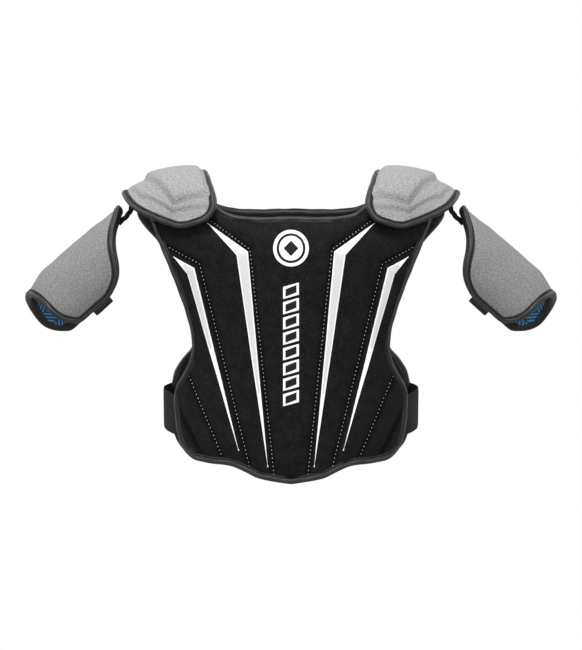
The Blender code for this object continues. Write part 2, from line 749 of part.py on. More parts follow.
for old in list(bpy.data.objects):
    bpy.data.objects.remove(old)
MATERIALS = {name: make_material(name, *look) for name, look in COLOURS.items()}
BODIES = body_pivots()
PIVOTS = {body: pivot for body, (parent, pivot) in BODIES.items()}
EMPTIES = make_empties(BODIES)
build_all()
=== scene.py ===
"""Looks for the slip-over shoulder pads: quilted panels, caps, arm guards, tape and straps."""

from collections import namedtuple
from math import cos, pi, radians, sin

import bmesh
import bpy
import numpy as np
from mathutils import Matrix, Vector
from mathutils.kdtree import KDTree


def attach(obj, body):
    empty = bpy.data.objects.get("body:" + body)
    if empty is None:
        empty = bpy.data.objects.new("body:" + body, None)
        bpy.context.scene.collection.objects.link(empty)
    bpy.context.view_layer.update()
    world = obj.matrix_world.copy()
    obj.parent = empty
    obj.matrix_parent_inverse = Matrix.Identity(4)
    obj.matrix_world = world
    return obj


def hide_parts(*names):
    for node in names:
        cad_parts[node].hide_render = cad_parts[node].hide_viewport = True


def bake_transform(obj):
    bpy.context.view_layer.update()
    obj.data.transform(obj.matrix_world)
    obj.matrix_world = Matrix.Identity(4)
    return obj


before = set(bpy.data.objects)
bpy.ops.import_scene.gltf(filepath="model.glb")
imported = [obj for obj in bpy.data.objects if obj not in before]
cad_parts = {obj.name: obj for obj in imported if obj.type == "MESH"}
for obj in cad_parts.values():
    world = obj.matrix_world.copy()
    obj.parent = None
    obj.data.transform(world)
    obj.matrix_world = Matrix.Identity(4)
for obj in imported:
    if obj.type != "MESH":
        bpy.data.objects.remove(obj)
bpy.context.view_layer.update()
SIDES = {"left": 1, "right": -1}
MM = 0.001

# ---- the part's own surfaces, repeated from its design ----
HALF_DEPTH = 0.115
HALF_WIDTH_WAIST = 0.163
HALF_WIDTH_SHOULDER = 0.222
SHOULDER_TOP_Z = -0.02
WAIST_TOP_Z = -0.22
RIDGE_Z = 0.029
RIDGE_SLOPE = 0.15
RIDGE_FLAT = 0.08
ARCH_DROP = 0.095
NECK_CORNER = (0.098, 0.003)
NECK_RIDGE_X = 0.104
FRONT_NECKLINE = ((0.0, -0.012), (0.041, -0.013), (0.078, -0.009), NECK_CORNER)
BACK_NECKLINE = ((0.0, -0.004), (0.041, -0.005), (0.078, -0.003), NECK_CORNER)
FRONT_EDGE = (
    (0.006, 0.188), (-0.019, 0.179), (-0.051, 0.167), (-0.095, 0.149), (-0.141, 0.133),
    (-0.172, 0.127), (-0.195, 0.1295), (-0.213, 0.138), (-0.23, 0.1475), (-0.25, 0.15),
    (-0.292, 0.145), (-0.311, 0.136), (-0.323, 0.12))
BACK_EDGE = (
    (0.006, 0.19), (-0.008, 0.198), (-0.022, 0.192), (-0.049, 0.17), (-0.095, 0.149),
    (-0.141, 0.133), (-0.172, 0.127), (-0.184, 0.129), (-0.2, 0.143), (-0.219, 0.1525),
    (-0.25, 0.1545), (-0.29, 0.151), (-0.309, 0.142), (-0.32, 0.125))
FRONT_BOTTOM = (
    (0.0, -0.352), (0.04, -0.345), (0.057, -0.337), (0.075, -0.3295), (0.105, -0.326),
    (0.12, -0.323))
BACK_BOTTOM = (
    (0.0, -0.344), (0.04, -0.338), (0.075, -0.327), (0.105, -0.323), (0.125, -0.32))
CAP_TOP = (
    (0.09, 0.04), (0.107, 0.0425), (0.129, 0.044), (0.149, 0.0425), (0.172, 0.0375),
    (0.19, 0.0302), (0.205, 0.0224), (0.218, 0.0125))
CAP_DEPTH = (
    (0.09, 0.107), (0.115, 0.103), (0.139, 0.095), (0.16, 0.086), (0.18, 0.077),
    (0.2, 0.066), (0.218, 0.056))
CAP_DROP = 0.073
CAP_NECK_EDGE = ((0, 0.106), (35, 0.1), (62, 0.0935), (76, 0.098), (84, 0.109), (90, 0.128))
CAP_OUTER_EDGE = ((0, 0.2175), (28, 0.214), (50, 0.205), (66, 0.19), (80, 0.17), (90, 0.148))
ARM_TOP = np.array((0.22, 0.0, -0.002))
ARM_TILT = radians(49)
ARM_RADIUS = (0.0525, 0.052)
ARM_COVERS = 124
ARM_TOP_EDGE = (
    (0, -0.004), (16, -0.0025), (30, 0.004), (46, 0.0165), (60, 0.0275), (75, 0.0365),
    (95, 0.046), (108, 0.055), (117, 0.066), (124, 0.08))
ARM_LENGTH = 0.1635
ARM_CUFF_SKEW = 0.0105
ARM_CORNER = (84, 0.02)
ARM_CURL = (0.125, 0.17, 0.009)
ARM_STRAP_ROUTE = (
    (0.0693, -0.0314), (0.0722, -0.018), (0.076, 0.0), (0.08, 0.019),
    (0.0838, 0.036), (0.0864, 0.044), (0.0858, 0.0481), (0.0822, 0.0506),
    (0.0737, 0.0529), (0.0603, 0.0553))
ARM_STRAP_S = (0.084, 0.112)
STRAP_HALF_WIDTH = 0.025
STRAP_MID_Z = -0.2615
STRAP_SLANT = 0.17
STRAP_INSIDE = -0.0172
STRAP_OUTSIDE = 0.0034
STRAP_ANCHOR_START = -39
STRAP_FREE = (-21.5, 48)
STRAP_RISE = (-20, 19)
STRAP_PATCH = (24, 54)
PATCH_HALF_WIDTH = 0.029
TAB_ROUTE = ((0.202, 0.004), (0.2025, -0.003), (0.205, -0.0095), (0.2105, -0.016),
             (0.219, -0.0235))
TAB_HALF_WIDTH = 0.011

# ---- looks ----
EDGE_INSET = 0.0035         # the skins end here, under the folded tape
SKIN_DEEP = -0.0062         # where outer skin and lining meet inside a panel
STACK = -0.0124             # the lining's inner face
LINING_EDGE = -0.0068       # the lining rises to this depth at the tape
LINING_TAPER = 0.022        # over this distance
CROWN = 0.0036              # how far a foam segment puffs up
CROWN_RISE = 0.0125         # distance from a sewn line over which it rises
RIM_RISE, RIM_FAR = 0.016, 0.06     # distance from the rim over which it rises; no rim beyond
CHANNEL_DEEP = -0.0026      # how far a sewn channel sinks
CHANNEL_WIDTH = 0.0034
FOLD_HEIGHT, TUG_HEIGHT = 0.00045, 0.0003
# sewn lines of one half, as (x, z) corners
FRONT_SEWN = {
    "inner": ((0.1005, -0.019), (0.052, -0.0545), (0.0215, -0.3385)),
    "outer": ((0.158, -0.051), (0.116, -0.0735), (0.053, -0.328)),
    "side": ((0.13, -0.216), (0.087, -0.318)),
    "corner": ((0.142, -0.26), (0.113, -0.316))}
# the back has no corner line, and its side line starts under the loop field
BACK_SEWN = {
    "inner": FRONT_SEWN["inner"], "outer": FRONT_SEWN["outer"],
    "side": ((0.124, -0.23), (0.087, -0.318))}
# white stripes: outer tip, inner corner, bottom tip, outer corner
STRIPES = {
    "inner": ((0.105, -0.0225), (0.0545, -0.0575), (0.029, -0.329), (0.068, -0.062)),
    "outer": ((0.1475, -0.0645), (0.1215, -0.0785), (0.0655, -0.3085), (0.1295, -0.086))}
BADGE_CENTRE = (0.0, -0.054)
BADGE_RADII = (0.0222, 0.018, 0.0148)
COLUMN_TOP, COLUMN_LOW = -0.0955, -0.25
COLUMN_BLOCKS = 8
BLOCK_HALF_WIDTH, BLOCK_SLANT = 0.0098, 0.0055
BLOCK_INSET = -0.003       # the dark middle of a block is this much smaller
FILM_BORDER = 0.0014        # white border round a stripe's pale grey fill
PRINT_SUNK = 0.0008         # a print's underside lies this deep in the fabric
STRIPE_TIP = 0.0006         # half the width of a stripe's tips
# metres on the surface for a degree round a cap, an arm guard and the waist
CAP_DEGREE, ARM_DEGREE, WAIST_DEGREE = 0.00145, 0.0009, 0.0026
CURVE_STEPS = 25            # points between two given points of a smooth curve


# ---- curves and surfaces ----
def curve_at(points, t):
    """Smooth curve through (t, value) points, in either direction; t may be an array."""
    points = sorted(points)
    grid, values, slopes = [], [], []
    count = len(points)
    for k in range(count):
        before, after = points[max(k - 1, 0)], points[min(k + 1, count - 1)]
        slopes.append((after[1] - before[1]) / (after[0] - before[0]))
    for k in range(count - 1):
        (t0, v0), (t1, v1) = points[k], points[k + 1]
        u = np.linspace(0, 1, CURVE_STEPS)
        keep = (2 * u ** 3 - 3 * u ** 2 + 1) * v0 + (3 * u ** 2 - 2 * u ** 3) * v1
        turn = (u ** 3 - 2 * u ** 2 + u) * slopes[k] + (u ** 3 - u ** 2) * slopes[k + 1]
        grid.append(t0 + u * (t1 - t0))
        values.append(keep + turn * (t1 - t0))
    return np.interp(t, np.concatenate(grid), np.concatenate(values))


def smoothstep(start, end, t):
    u = np.clip((np.asarray(t, float) - start) / (end - start), 0, 1)
    return u * u * (3 - 2 * u)


def ridge_z(x):
    return RIDGE_Z - RIDGE_SLOPE * np.maximum(np.abs(x) - RIDGE_FLAT, 0.0)


def half_width(z):
    rise = smoothstep(WAIST_TOP_Z, SHOULDER_TOP_Z, z)
    return HALF_WIDTH_WAIST + (HALF_WIDTH_SHOULDER - HALF_WIDTH_WAIST) * rise


def arc_at(x, z):
    drop = ridge_z(x) - z
    bent = ARCH_DROP * np.arccos(np.clip(1 - drop / ARCH_DROP, -1, 1))
    straight = ARCH_DROP * pi / 2 + drop - ARCH_DROP
    return np.where(drop < ARCH_DROP, bent, straight)


def height_at(x, arc):
    arc = np.abs(arc)
    bent = ridge_z(x) - ARCH_DROP * (1 - np.cos(arc / ARCH_DROP))
    straight = ridge_z(x) - ARCH_DROP - (arc - ARCH_DROP * pi / 2)
    return np.where(arc < ARCH_DROP * pi / 2, bent, straight)


def torso_surface(x, arc):
    z = height_at(x, arc)
    turn = np.minimum(np.abs(arc) / ARCH_DROP, pi / 2)
    section = np.sqrt(np.maximum(1 - (x / half_width(z)) ** 2, 0.01))
    y = -np.sign(arc) * HALF_DEPTH * section * np.sin(turn)
    return np.stack(np.broadcast_arrays(x, y, z), -1)


def cap_surface(degrees, x):
    angle = np.radians(degrees)
    z = curve_at(CAP_TOP, x) - CAP_DROP * (1 - np.cos(angle))
    return np.stack(np.broadcast_arrays(x, -curve_at(CAP_DEPTH, x) * np.sin(angle), z), -1)


ARM_AXIS = np.array((sin(ARM_TILT), 0.0, -cos(ARM_TILT)))
ARM_INWARD = np.array((-cos(ARM_TILT), 0.0, -sin(ARM_TILT)))
BACKWARD = np.array((0.0, 1.0, 0.0))


def arm_surface(degrees, along):
    angle = np.radians(degrees)[..., None]
    along = np.asarray(along)[..., None]
    centre = ARM_TOP + ARM_INWARD * ARM_RADIUS[0] + ARM_AXIS * along
    start, end, depth = ARM_CURL
    curl = depth * smoothstep(start, end, along) * np.maximum(np.cos(angle), 0) ** 2
    side = ARM_INWARD * (curl - ARM_RADIUS[0] * np.cos(angle))
    return centre + side + BACKWARD * (ARM_RADIUS[1] * np.sin(angle))


def waist_surface(degrees, z):
    angle = np.radians(degrees)
    x = HALF_WIDTH_WAIST * np.cos(angle)
    return np.stack(np.broadcast_arrays(x, HALF_DEPTH * np.sin(angle), z), -1)


def path_marks(points):
    """Distance along a path at each of its points."""
    steps = np.linalg.norm(np.diff(np.array(points), axis=0), axis=1)
    return np.concatenate(([0], np.cumsum(steps)))


def route_at(route, t):
    marks = path_marks(route)
    a = curve_at([(m, point[0]) for m, point in zip(marks, route)], t)
    return a, curve_at([(m, point[1]) for m, point in zip(marks, route)], t)


def tab_surface(t, y):
    x, z = route_at(TAB_ROUTE, t)
    return np.stack(np.broadcast_arrays(x, y, z), -1)


def arm_strap_surface(t, along):
    inwards, back = route_at(ARM_STRAP_ROUTE, t)
    sheet = ARM_TOP + ARM_AXIS * np.asarray(along)[..., None] + ARM_INWARD * inwards[..., None]
    return sheet + BACKWARD * back[..., None]


class Surface:
    """A surface with outward heights; step_a and step_b set its slopes, side -1 mirrors it."""

    def __init__(self, at, step_a, step_b, side=1, out=1):
        self.at, self.step_a, self.step_b = at, step_a, step_b
        self.mirror = np.array((side, 1.0, 1.0))
        self.out = out

    def normal(self, a, b):
        across = self.at(a + self.step_a, b) - self.at(a - self.step_a, b)
        down = self.at(a, b + self.step_b) - self.at(a, b - self.step_b)
        normal = np.cross(down, across) * self.out
        return normal / np.linalg.norm(normal, axis=-1, keepdims=True)

    def place(self, a, b, height):
        a, b = np.asarray(a, float), np.asarray(b, float)
        height = np.asarray(height, float)[..., None]
        return (self.at(a, b) + self.normal(a, b) * height) * self.mirror

    def outward(self, a, b):
        return self.normal(np.asarray(a, float), np.asarray(b, float)) * self.mirror


# half the steps over which a surface's slopes are taken
METRE_STEP, ROUTE_STEP, DEGREE_STEP = 0.0005, 0.0004, 0.3
TORSO = Surface(torso_surface, METRE_STEP, METRE_STEP)


# ---- meshes ----
def add_object(name, data):
    thing = bpy.data.objects.new(name, data)
    bpy.context.scene.collection.objects.link(thing)
    return thing


def make_piece(name, verts, faces, material, cloth=None, sharp=50):
    mesh = bpy.data.meshes.new(name)
    mesh.from_pydata(np.asarray(verts).tolist(), [], faces)
    if cloth is not None:
        layer = mesh.attributes.new("cloth", "FLOAT_VECTOR", "POINT")
        layer.data.foreach_set("vector", np.asarray(cloth, np.float32).ravel())
    bm = bmesh.new()
    bm.from_mesh(mesh)
    bmesh.ops.recalc_face_normals(bm, faces=bm.faces)
    bm.to_mesh(mesh)
    bm.free()
    mesh.shade_smooth()
    mesh.set_sharp_from_angle(angle=radians(sharp))
    mesh.materials.append(material)
    return add_object(name, mesh)


def whole(grid):
    """Every point of this grid exists."""
    return np.ones(grid.shape, bool)


def valid_cells(valid):
    return valid[:-1, :-1] & valid[1:, :-1] & valid[:-1, 1:] & valid[1:, 1:]


def edge_loop(valid):
    """Outer edge of a grid as an ordered list of (row, column)."""
    following = {}
    cells = valid_cells(valid)
    rows, columns = cells.shape

    def filled(i, j):
        return 0 <= i < rows and 0 <= j < columns and cells[i, j]

    for i, j in np.argwhere(cells).tolist():
        for beside, start, end in (((i - 1, j), (i, j + 1), (i, j)),
                                   ((i + 1, j), (i + 1, j), (i + 1, j + 1)),
                                   ((i, j - 1), (i, j), (i + 1, j)),
                                   ((i, j + 1), (i + 1, j + 1), (i, j + 1))):
            if not filled(*beside):
                following[start] = end
    loop = [min(following)]
    while following[loop[-1]] != loop[0]:
        loop.append(following[loop[-1]])
    return loop


def layer(name, material, a, b, valid, surface, top, low, cloth_scale=(1.0, 1.0), crease_shade_mask=None):
    """A closed layer over a grid, from height top down to height low; both may be arrays.

    The last argument, from 0 to 1, is how deep a point lies in a sewn channel or beside the tape; it
    darkens the fabric's colour there as painted shade.
    """
    top = np.broadcast_to(top, a.shape)
    low = np.broadcast_to(low, a.shape)
    number = np.full(a.shape, -1)
    number[valid] = np.arange(valid.sum())
    count = int(valid.sum())
    upper = surface.place(a[valid], b[valid], top[valid])
    lower = surface.place(a[valid], b[valid], low[valid])
    cells = valid_cells(valid)
    i, j = np.nonzero(cells)
    quads = np.stack((number[i, j], number[i, j + 1], number[i + 1, j + 1], number[i + 1, j]), 1)
    loop = [int(number[key]) for key in edge_loop(valid)]
    sides = [(key, key + count, after + count, after)
             for key, after in zip(loop, loop[1:] + loop[:1])]
    faces = quads.tolist() + (quads[:, ::-1] + count).tolist() + sides
    crease_shade = np.zeros(count) if crease_shade_mask is None else crease_shade_mask[valid]
    flat = np.stack((a[valid] * cloth_scale[0], b[valid] * cloth_scale[1], crease_shade), 1)
    return make_piece(name, np.concatenate((upper, lower)), faces, material,
                      np.concatenate((flat, flat)))


def resample(points, spacing, closed):
    """Points at even distances along a path, and the distances."""
    points = np.asarray(points)
    if closed:
        points = np.concatenate((points, points[:1]))
    marks = path_marks(points[:, :3])
    count = max(int(round(marks[-1] / spacing)), 3)
    at = np.linspace(0, marks[-1], count + 1)
    if closed:
        at = at[:-1]
    return np.stack([np.interp(at, marks, column) for column in points.T], 1), at


def smooth_path(points, rounds, closed):
    for _ in range(rounds):
        before, after = np.roll(points, 1, 0), np.roll(points, -1, 0)
        relaxed = points * 0.5 + (before + after) * 0.25
        if not closed:
            relaxed[0], relaxed[-1] = points[0], points[-1]
        points = relaxed
    return points


def path_frame(points, normals, closed):
    """Tangents, unit normals and in-surface outward directions along an edge path."""
    ahead = np.roll(points, -1, 0) - np.roll(points, 1, 0)
    if not closed:
        ahead[0], ahead[-1] = points[1] - points[0], points[-1] - points[-2]
    tangent = ahead / np.linalg.norm(ahead, axis=1, keepdims=True)
    normals = normals - tangent * (normals * tangent).sum(1, keepdims=True)
    normals = normals / np.linalg.norm(normals, axis=1, keepdims=True)
    return tangent, normals, np.cross(tangent, normals)


# the folded tape's section in millimetres: outward from the skin's edge, and up from its face
TAPE_SECTION = np.array((
    (-6.4, 0.2), (-6.1, 0.75), (-5.4, 0.85), (-4.8, 0.45), (-4.3, 0.3), (-3.8, 0.7), (-3.0, 1.4),
    (-1.8, 1.85), (-0.2, 1.7), (1.1, 1.1), (2.1, 0.0), (2.6, -1.8), (2.7, -4.0), (2.3, -6.2),
    (1.3, -7.8), (-0.4, -8.7), (-2.6, -9.0), (-4.7, -9.0), (-6.5, -9.4), (-7.9, -9.7))) * MM
TAPE_SEAM = (-4.55 * MM, 0.55 * MM)
TAPE_SPACING = 0.002
TAPE_SMOOTHING = 6
TAPE_WAVES = ((0.0031, 0.0, 0.5), (0.0083, 1.3, 1.0), (0.021, 0.0, 0.7))   # length, phase, share
TAPE_CLOTH_STEP = 0.0016    # cloth coordinate from one point of the section to the next


def facing(points, normals, closed, middle):
    """1 or -1: whether an edge path's in-surface direction points away from the middle."""
    out = path_frame(points, normals, closed)[2]
    return np.sign(((points - middle) * out).sum())


def tape(name, points, normals, closed, material, away, pucker=0.00035):
    """A folded and rolled binding along an edge path; returns the piece and its seam path."""
    data, marks = resample(np.concatenate((points, normals), 1), TAPE_SPACING, closed)
    path = smooth_path(data[:, :3], TAPE_SMOOTHING, closed)
    _, up, out = path_frame(path, smooth_path(data[:, 3:], TAPE_SMOOTHING, closed), closed)
    out = out * away
    count, ring = len(path), len(TAPE_SECTION)
    wave = sum(np.sin(marks / length + phase) * share for length, phase, share in TAPE_WAVES)
    level = np.zeros(count)
    verts, cloth = [], []
    for k, (o, n) in enumerate(TAPE_SECTION):
        roll = pucker * np.sin(marks / 0.0047 + k * 0.9) * (0.35 if o < -4 * MM else 1.0)
        lift = n + (roll + wave * pucker * 0.35) * np.sign(n + 0.004)
        verts.append(path + out * o + up * lift[:, None])
        cloth.append(np.stack((marks, level + k * TAPE_CLOTH_STEP, level), 1))
    verts = np.stack(verts, 1).reshape(-1, 3)
    cloth = np.stack(cloth, 1).reshape(-1, 3)
    faces = []
    for k in range(count if closed else count - 1):
        after = (k + 1) % count
        for r in range(ring):
            nxt = (r + 1) % ring
            faces.append((k * ring + r, after * ring + r, after * ring + nxt, k * ring + nxt))
    if not closed:
        faces.append(tuple(range(ring)))
        faces.append(tuple(reversed(range((count - 1) * ring, count * ring))))
    piece = make_piece(name, verts, faces, material, cloth, 80)
    seam = path + out * TAPE_SEAM[0] + up * TAPE_SEAM[1]
    return piece, (seam, up)


STITCH_RINGS = ((-0.32, 0.85), (0.0, 1.1), (0.32, 0.85))   # place along it, and swell


def stitches(name, runs, material, pitch=0.0046, length=0.0031, radius=0.00042):
    """Sewing thread that shows as a row of short raised stitches along each (points, normals)."""
    verts, faces = [], []
    ring = 5
    for points, normals, closed in runs:
        data, _ = resample(np.concatenate((points, normals), 1), pitch, closed)
        centres = data[:, :3]
        tangent, up, side = path_frame(centres, data[:, 3:], closed)
        for centre, t, n, s in zip(centres, tangent, up, side):
            base = len(verts)
            verts.append(centre - t * length / 2 - n * radius)
            for place, swell in STITCH_RINGS:
                for k in range(ring):
                    angle = 2 * pi * k / ring
                    off = s * cos(angle) * radius * swell + n * sin(angle) * radius * swell
                    verts.append(centre + t * length * place + off)
            verts.append(centre + t * length / 2 - n * radius)
            for k in range(ring):
                nxt = (k + 1) % ring
                faces.append((base, base + 1 + nxt, base + 1 + k))
                for r in range(2):
                    low = base + 1 + r * ring
                    faces.append((low + k, low + nxt, low + ring + nxt, low + ring + k))
                low = base + 1 + 2 * ring
                faces.append((low + ring, low + k, low + nxt))
    return make_piece(name, np.array(verts), faces, material, None, 80)


# ---- materials ----
def grey(value):
    return (value, value, value)


def fill_ramp(ramp, stops):
    """Set a colour ramp's (position, colour) stops; a colour may be a single grey value."""
    while len(ramp.elements) < len(stops):
        ramp.elements.new(0.5)
    for element, (position, colour) in zip(ramp.elements, stops):
        element.position = position
        element.color = (*(colour if isinstance(colour, tuple) else grey(colour)), 1)


class Shader:
    """A Principled material whose colour and bump come from nodes on the cloth coordinates."""

    def __init__(self, name, roughness, sheen=0.0, sheen_tint=(1, 1, 1), sheen_roughness=0.4,
                 specular=0.3):
        self.material = bpy.data.materials.new(name)
        self.material.use_nodes = True
        self.tree = self.material.node_tree
        self.shader = self.tree.nodes["Principled BSDF"]
        for key, value in (("Roughness", roughness), ("Specular IOR Level", specular),
                           ("Sheen Weight", sheen), ("Sheen Roughness", sheen_roughness),
                           ("Sheen Tint", (*sheen_tint, 1))):
            self.shader.inputs[key].default_value = value

    def feed(self, socket, value):
        """Link an input to a node's output, or set it to a plain value."""
        if hasattr(value, "links"):
            self.tree.links.new(value, socket)
        else:
            socket.default_value = value

    def node(self, kind, settings=(), **inputs):
        node = self.tree.nodes.new("ShaderNode" + kind)
        for key, value in dict(settings).items():
            setattr(node, key, value)
        for key, value in inputs.items():
            self.feed(node.inputs[key], value)
        return node

    def cloth(self, scale=(1, 1, 1), turn=0.0):
        source = self.node("Attribute", {"attribute_name": "cloth"})
        mapping = self.node("Mapping", Vector=source.outputs["Vector"], Scale=scale,
                            Rotation=(0, 0, turn))
        return mapping.outputs["Vector"]

    def solid(self, scale=(1, 1, 1)):
        source = self.node("TexCoord")
        return self.node("Mapping", Vector=source.outputs["Object"], Scale=scale).outputs["Vector"]

    def noise(self, vector, scale, detail=3.0, roughness=0.6):
        return self.node("TexNoise", Vector=vector, Scale=scale, Detail=detail,
                         Roughness=roughness).outputs["Fac"]

    def ramp(self, factor, *stops):
        node = self.node("ValToRGB", Fac=factor)
        fill_ramp(node.color_ramp, stops)
        return node.outputs["Color"]

    def maths(self, operation, a, b=0.0, c=0.0):
        node = self.node("Math", {"operation": operation})
        for socket, value in zip(node.inputs, (a, b, c)):
            self.feed(socket, value)
        return node.outputs[0]

    def mix(self, factor, a, b, kind="MIX"):
        node = self.node("Mix", {"data_type": "RGBA", "blend_type": kind})
        # a colour mix has its factor at input 0 and its colours at 6 and 7
        for place, value in ((0, factor), (6, a), (7, b)):
            self.feed(node.inputs[place], (*value, 1) if isinstance(value, tuple) else value)
        return node.outputs[2]

    def bump(self, height, distance, strength=1.0, under=None):
        node = self.node("Bump", Height=height, Distance=distance, Strength=strength)
        if under is not None:
            self.tree.links.new(under, node.inputs["Normal"])
        return node.outputs["Normal"]

    def finish(self, colour, normal, roughness=None):
        """Connect colour, normal and, where it varies, roughness; returns the material."""
        for name, socket in (("Base Color", colour), ("Normal", normal), ("Roughness", roughness)):
            if socket is not None:
                self.tree.links.new(socket, self.shader.inputs[name])
        return self.material


def brushed_black():
    look = Shader("brushed_black", 0.95, 0.035, grey(0.75), 0.55, 0.08)
    solid = look.solid()
    nap = look.noise(solid, 1100, 3, 0.75)
    patch = look.noise(solid, 75, 4)
    fine = look.ramp(nap, (0.36, 0.0025), (0.52, (0.0078, 0.0078, 0.008)),
                     (0.68, (0.03, 0.029, 0.0295)))
    worn = look.ramp(patch, (0.35, 0.72), (0.68, 1.25))
    # painted shade: the cloth attribute's third value darkens the colour in the sewn channels and
    # beside the tape
    crease_shade = look.node("SeparateXYZ", Vector=look.cloth()).outputs[2]
    shade = look.ramp(crease_shade, (0.0, 1.0), (1.0, 0.16))
    soft = look.bump(look.noise(solid, 210, 3), 0.0007, 0.4)
    return look.finish(look.mix(1.0, look.mix(1.0, fine, worn, "MULTIPLY"), shade, "MULTIPLY"),
                       look.bump(nap, 0.0004, 0.55, soft))


def folded_tape():
    look = Shader("folded_tape", 0.36, 0.03, (0.85, 0.88, 0.9), 0.35, 0.28)
    cloth = look.cloth()
    fold = look.node("SeparateXYZ", Vector=cloth).outputs[1]
    # painted highlight and shade round the tape's section: lighter on its rounded top, darker in the
    # seam groove by the skin and on its outer side and underside
    tape_light_and_shade = look.ramp(look.maths("DIVIDE", fold, 0.032), (0.03, 0.9), (0.13, 0.7),
                       (0.19, 0.12), (0.23, 0.12), (0.3, 1.0), (0.36, 1.7),
                       (0.46, 1.2), (0.54, 0.3), (0.66, 0.2), (0.8, 0.6))
    ribs = look.node("TexWave", {"bands_direction": "X"}, Vector=cloth, Scale=330.0, Distortion=1.2,
                     Detail=2.0).outputs["Fac"]
    grain = look.noise(look.solid(), 900, 3)
    yarn = look.mix(grain, (0.01, 0.0105, 0.011), (0.024, 0.025, 0.026))
    return look.finish(look.mix(1.0, yarn, tape_light_and_shade, "MULTIPLY"),
                       look.bump(ribs, 0.00018, 0.5, look.bump(grain, 0.0003, 0.35)),
                       look.maths("MULTIPLY_ADD", grain, 0.2, 0.3))


def heather_knit(name, light, streak_turn=0.0):
    look = Shader(name, 0.88, 0.06, (0.9, 0.9, 0.92), 0.5, 0.12)
    solid = look.solid()
    cloth = look.cloth((1, 1, 1), streak_turn)
    drawn = look.node("Mapping", Vector=cloth, Scale=(1.0, 0.4, 1.0)).outputs[0]
    flecks = look.noise(drawn, 760, 4, 0.8)
    melange = look.noise(solid, 1300, 3, 0.75)
    base = look.ramp(flecks, (0.33, light * 0.52), (0.49, (light, light * 0.985, light * 0.99)),
                     (0.64, light * 1.45))
    specks = look.ramp(melange, (0.36, 0.62), (0.52, 1.0), (0.68, 1.28))
    courses = look.node("TexWave", {"bands_direction": "DIAGONAL"}, Vector=cloth, Scale=260.0,
                        Distortion=2.0, Detail=1.5).outputs["Fac"]
    return look.finish(look.mix(0.85, base, specks, "MULTIPLY"),
                       look.bump(flecks, 0.0005, 0.45, look.bump(courses, 0.0002, 0.3)))


def line_lining():
    """Dark knit with bright blue slanted strokes whose slant turns back and forth."""
    look = Shader("line_lining", 0.8, 0.05, specular=0.15)
    parts = look.node("SeparateXYZ", Vector=look.cloth())
    u, v = look.maths("ADD", parts.outputs[0], 2.0), parts.outputs[1]
    zigzag = look.maths("PINGPONG", u, 0.024)
    slant = look.maths("MULTIPLY_ADD", zigzag, 0.75, v)
    stroke = look.maths("FRACT", look.maths("DIVIDE", look.maths("ADD", slant, 3.0), 0.0058))
    column = look.maths("FRACT", look.maths("DIVIDE", u, 0.024))
    mask = look.maths("MULTIPLY", look.ramp(stroke, (0.06, 0), (0.12, 1), (0.46, 1),
                                            (0.52, 0)),
                      look.ramp(column, (0.03, 0), (0.09, 1), (0.91, 1), (0.97, 0)))
    grain = look.noise(look.solid(), 1300, 3)
    ground = look.ramp(grain, (0.35, (0.03, 0.024, 0.026)), (0.7, (0.085, 0.07, 0.076)))
    blue = look.ramp(grain, (0.35, (0.012, 0.22, 0.6)), (0.7, (0.04, 0.38, 0.82)))
    return look.finish(look.mix(mask, ground, blue), look.bump(grain, 0.0004, 0.5))


def elastic_webbing():
    look = Shader("elastic_webbing", 0.78, 0.05, grey(0.7), 0.5, 0.15)
    cloth = look.cloth()
    ribs = look.node("TexWave", {"bands_direction": "Y"}, Vector=cloth, Scale=190.0, Distortion=0.4,
                     Detail=1.0).outputs["Fac"]
    cross = look.node("TexWave", {"bands_direction": "X"}, Vector=cloth, Scale=420.0,
                      Distortion=0.6).outputs["Fac"]
    grain = look.noise(look.solid(), 1600, 3)
    colour = look.mix(look.maths("MULTIPLY", ribs, grain), (0.004, 0.004, 0.0045),
                      (0.017, 0.017, 0.018))
    return look.finish(colour, look.bump(ribs, 0.0006, 0.7, look.bump(cross, 0.0002, 0.5)))


def grained(look, scale, detail, low, high, distance, strength, roughness=None):
    """A plain material whose grain runs from a low to a high grey and stands up a little."""
    grain = look.noise(look.solid(), scale, detail)
    if roughness:
        roughness = look.maths("MULTIPLY_ADD", grain, *roughness)
    return look.finish(look.ramp(grain, (0.3, low), (0.7, high)),
                       look.bump(grain, distance, strength), roughness)


def welded_film(name, value):
    return grained(Shader(name, 0.5, specular=0.35), 700, 3, value * 0.95, value * 1.05,
                   0.0003, 0.3, (0.2, 0.42))


def thread(name, value):
    return grained(Shader(name, 0.6, 0.05, specular=0.15), 2600, 2, value * 0.75, value,
                   0.0002, 0.5)


BLACK = brushed_black()
TAPE = folded_tape()
# caps and arm guards are one heather fabric; the arm guards' copy is a darker grey, painted shade for
# the less light falling on them
HEATHER_CAP = heather_knit("heather_cap", 0.262, 0.4)
HEATHER_ARM_SHADED = heather_knit("heather_arm_shaded", 0.198, 1.2)
LINING = line_lining()
ELASTIC = elastic_webbing()
FILM = welded_film("welded_film", 0.9)
FILM_GREY = welded_film("pale_grey_film", 0.6)
WHITE_THREAD = thread("white_thread", 0.62)
DARK_THREAD = thread("dark_thread", 0.012)
GREY_THREAD = thread("grey_thread", 0.12)
PLASTIC = grained(Shader("moulded_plastic", 0.42), 350, 4, 0.03, 0.05, 0.0003, 0.3)
DARK_EDGE = thread("dark_print", 0.01)


# ---- camera, light and floor ----
def aim(thing, target):
    direction = Vector(target) - thing.location
    thing.rotation_euler = direction.to_track_quat("-Z", "Y").to_euler()


CAMERA_TARGET = Vector((0.0, 0.0, -0.1524))
CAMERA_DISTANCE, CAMERA_RISE = 14.0, radians(1.2)
CAMERA_SENSOR = 36
VIEW_SPAN = 0.8255          # metres across the picture's longer side, at the pads
LIGHTS = (                  # name, place, size, power
    ("key", (-0.25, -1.0, 2.1), 1.2, 72), ("front", (0.5, -2.6, 0.5), 1.4, 14),
    ("rim_left", (-1.7, 0.8, 1.0), 1.0, 10), ("rim_right", (1.7, 0.8, 1.0), 1.0, 10))
